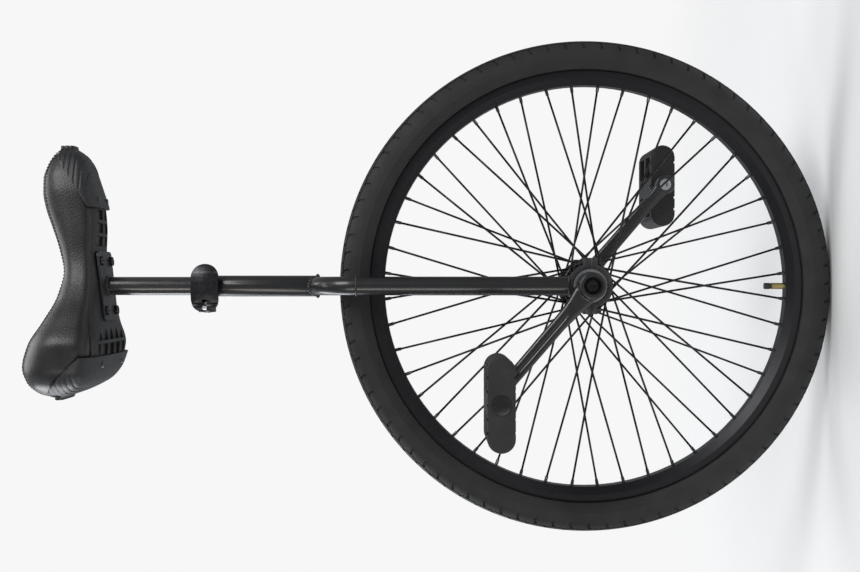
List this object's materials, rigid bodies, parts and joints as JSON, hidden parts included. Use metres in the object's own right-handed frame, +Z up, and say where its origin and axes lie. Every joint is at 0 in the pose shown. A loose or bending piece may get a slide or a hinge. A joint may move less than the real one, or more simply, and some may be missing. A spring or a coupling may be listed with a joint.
{
  "type": "unicycle",
  "caption": "Black unicycle with a spoked wheel driven straight by its cranks, a curved saddle on a sliding post and a quick-release seat clamp.",
  "frame": {"origin": "on the floor under the axle, where the tyre touches it", "axes": "+X forward, +Y to the rider's left, +Z up along the seat post"},
  "size_m": [0.595, 0.3492, 0.9697],
  "materials": {
    "frame_paint": "satin black powder coat",
    "housing_paint": "satin black powder coat on castings",
    "black_bolt": "black oxide",
    "bearing_steel": "ground steel",
    "seal_rubber": "black rubber seal",
    "clamp_black": "black anodised",
    "bright_steel": "plated steel",
    "post_black": "gloss black",
    "plate_black": "black",
    "base_plastic": "moulded black",
    "foam": "closed foam",
    "cover_vinyl": "grained black vinyl",
    "bumper_plastic": "textured black",
    "tyre": "black tread",
    "butyl": "black butyl",
    "rim_black": "black anodised",
    "tape": "rim tape",
    "valve_brass": "brass",
    "valve_cap": "black plastic",
    "spoke_black": "black spokes",
    "nipple": "black plated",
    "hub_black": "black",
    "crank_black": "satin black",
    "pedal_plastic": "moulded black",
    "bush": "sintered bronze",
    "cap_plastic": "black"
  },
  "bodies": {
    "frame": {"fork_crown": "frame_paint", "fork_leg_left": "frame_paint", "fork_leg_right": "frame_paint", "seat_tube": "frame_paint", "bearing_housing_left": "housing_paint", "bearing_housing_right": "housing_paint", "bearing_cap_left": "housing_paint", "bearing_cap_right": "housing_paint", "bearing_cap_bolts": "black_bolt", "bearing_outer_races": "bearing_steel", "bearing_seals": "seal_rubber", "clamp_collar": "clamp_black", "clamp_skewer": "bright_steel", "clamp_nut": "clamp_black", "clamp_washer": "bright_steel"},
    "wheel": {"tyre": "tyre", "inner_tube": "butyl", "rim": "rim_black", "rim_tape": "tape", "valve_stem": "valve_brass", "valve_cap": "valve_cap", "spokes_left": "spoke_black", "spokes_right": "spoke_black", "spoke_nipples": "nipple", "hub_shell": "hub_black", "axle": "bright_steel", "bearing_spacers": "bearing_steel", "bearing_inner_races": "bearing_steel", "crank_left": "crank_black", "crank_right": "crank_black", "crank_bolts": "black_bolt", "pedal_spindle_left": "bright_steel", "pedal_spindle_right": "bright_steel", "pedal_nuts": "bright_steel"},
    "pedal_left": {"pedal_body_left": "pedal_plastic", "pedal_bushes_left": "bush", "pedal_end_cap_left": "cap_plastic"},
    "pedal_right": {"pedal_body_right": "pedal_plastic", "pedal_bushes_right": "bush", "pedal_end_cap_right": "cap_plastic"},
    "seat": {"seat_post": "post_black", "saddle_plate": "plate_black", "saddle_bolts": "black_bolt", "saddle_base": "base_plastic", "saddle_foam": "foam", "saddle_cover": "cover_vinyl", "front_bumper": "bumper_plastic", "rear_bumper": "bumper_plastic", "bumper_screws": "black_bolt"},
    "clamp_lever": {"quick_release_lever": "clamp_black"},
    "ball_cage_left": {"ball_cage_left": "bearing_steel"},
    "ball_cage_right": {"ball_cage_right": "bearing_steel"}
  },
  "joints": [
    {"name": "wheel_spin", "type": "hinge", "parent": "frame", "child": "wheel", "pos_m": [0, 0, 0.2975], "axis": [0, 1, 0], "continuous": true},
    {"name": "pedal_left_spin", "type": "hinge", "parent": "wheel", "child": "pedal_left", "pos_m": [0.12888, 0.13, 0.18664], "axis": [0, 1, 0], "continuous": true},
    {"name": "pedal_right_spin", "type": "hinge", "parent": "wheel", "child": "pedal_right", "pos_m": [-0.12888, -0.13, 0.40836], "axis": [0, 1, 0], "continuous": true},
    {"name": "seat_height", "type": "slide", "parent": "frame", "child": "seat", "axis": [0, 0, 1], "range_m": [-0.045, 0.025]},
    {"name": "clamp_lever_swing", "type": "hinge", "parent": "frame", "child": "clamp_lever", "pos_m": [-0.0257, -0.0181, 0.7562], "axis": [0, 0, -1], "range_deg": [0, 170]},
    {"name": "ball_cage_left_roll", "type": "hinge", "parent": "frame", "child": "ball_cage_left", "pos_m": [0, 0.05, 0.2975], "axis": [0, 1, 0], "continuous": true},
    {"name": "ball_cage_right_roll", "type": "hinge", "parent": "frame", "child": "ball_cage_right", "pos_m": [0, -0.05, 0.2975], "axis": [0, 1, 0], "continuous": true}
  ],
  "couplings": [
    {"joint": "ball_cage_left_roll", "follows": "wheel_spin", "ratio": 0.387},
    {"joint": "ball_cage_right_roll", "follows": "wheel_spin", "ratio": 0.387}
  ]
}
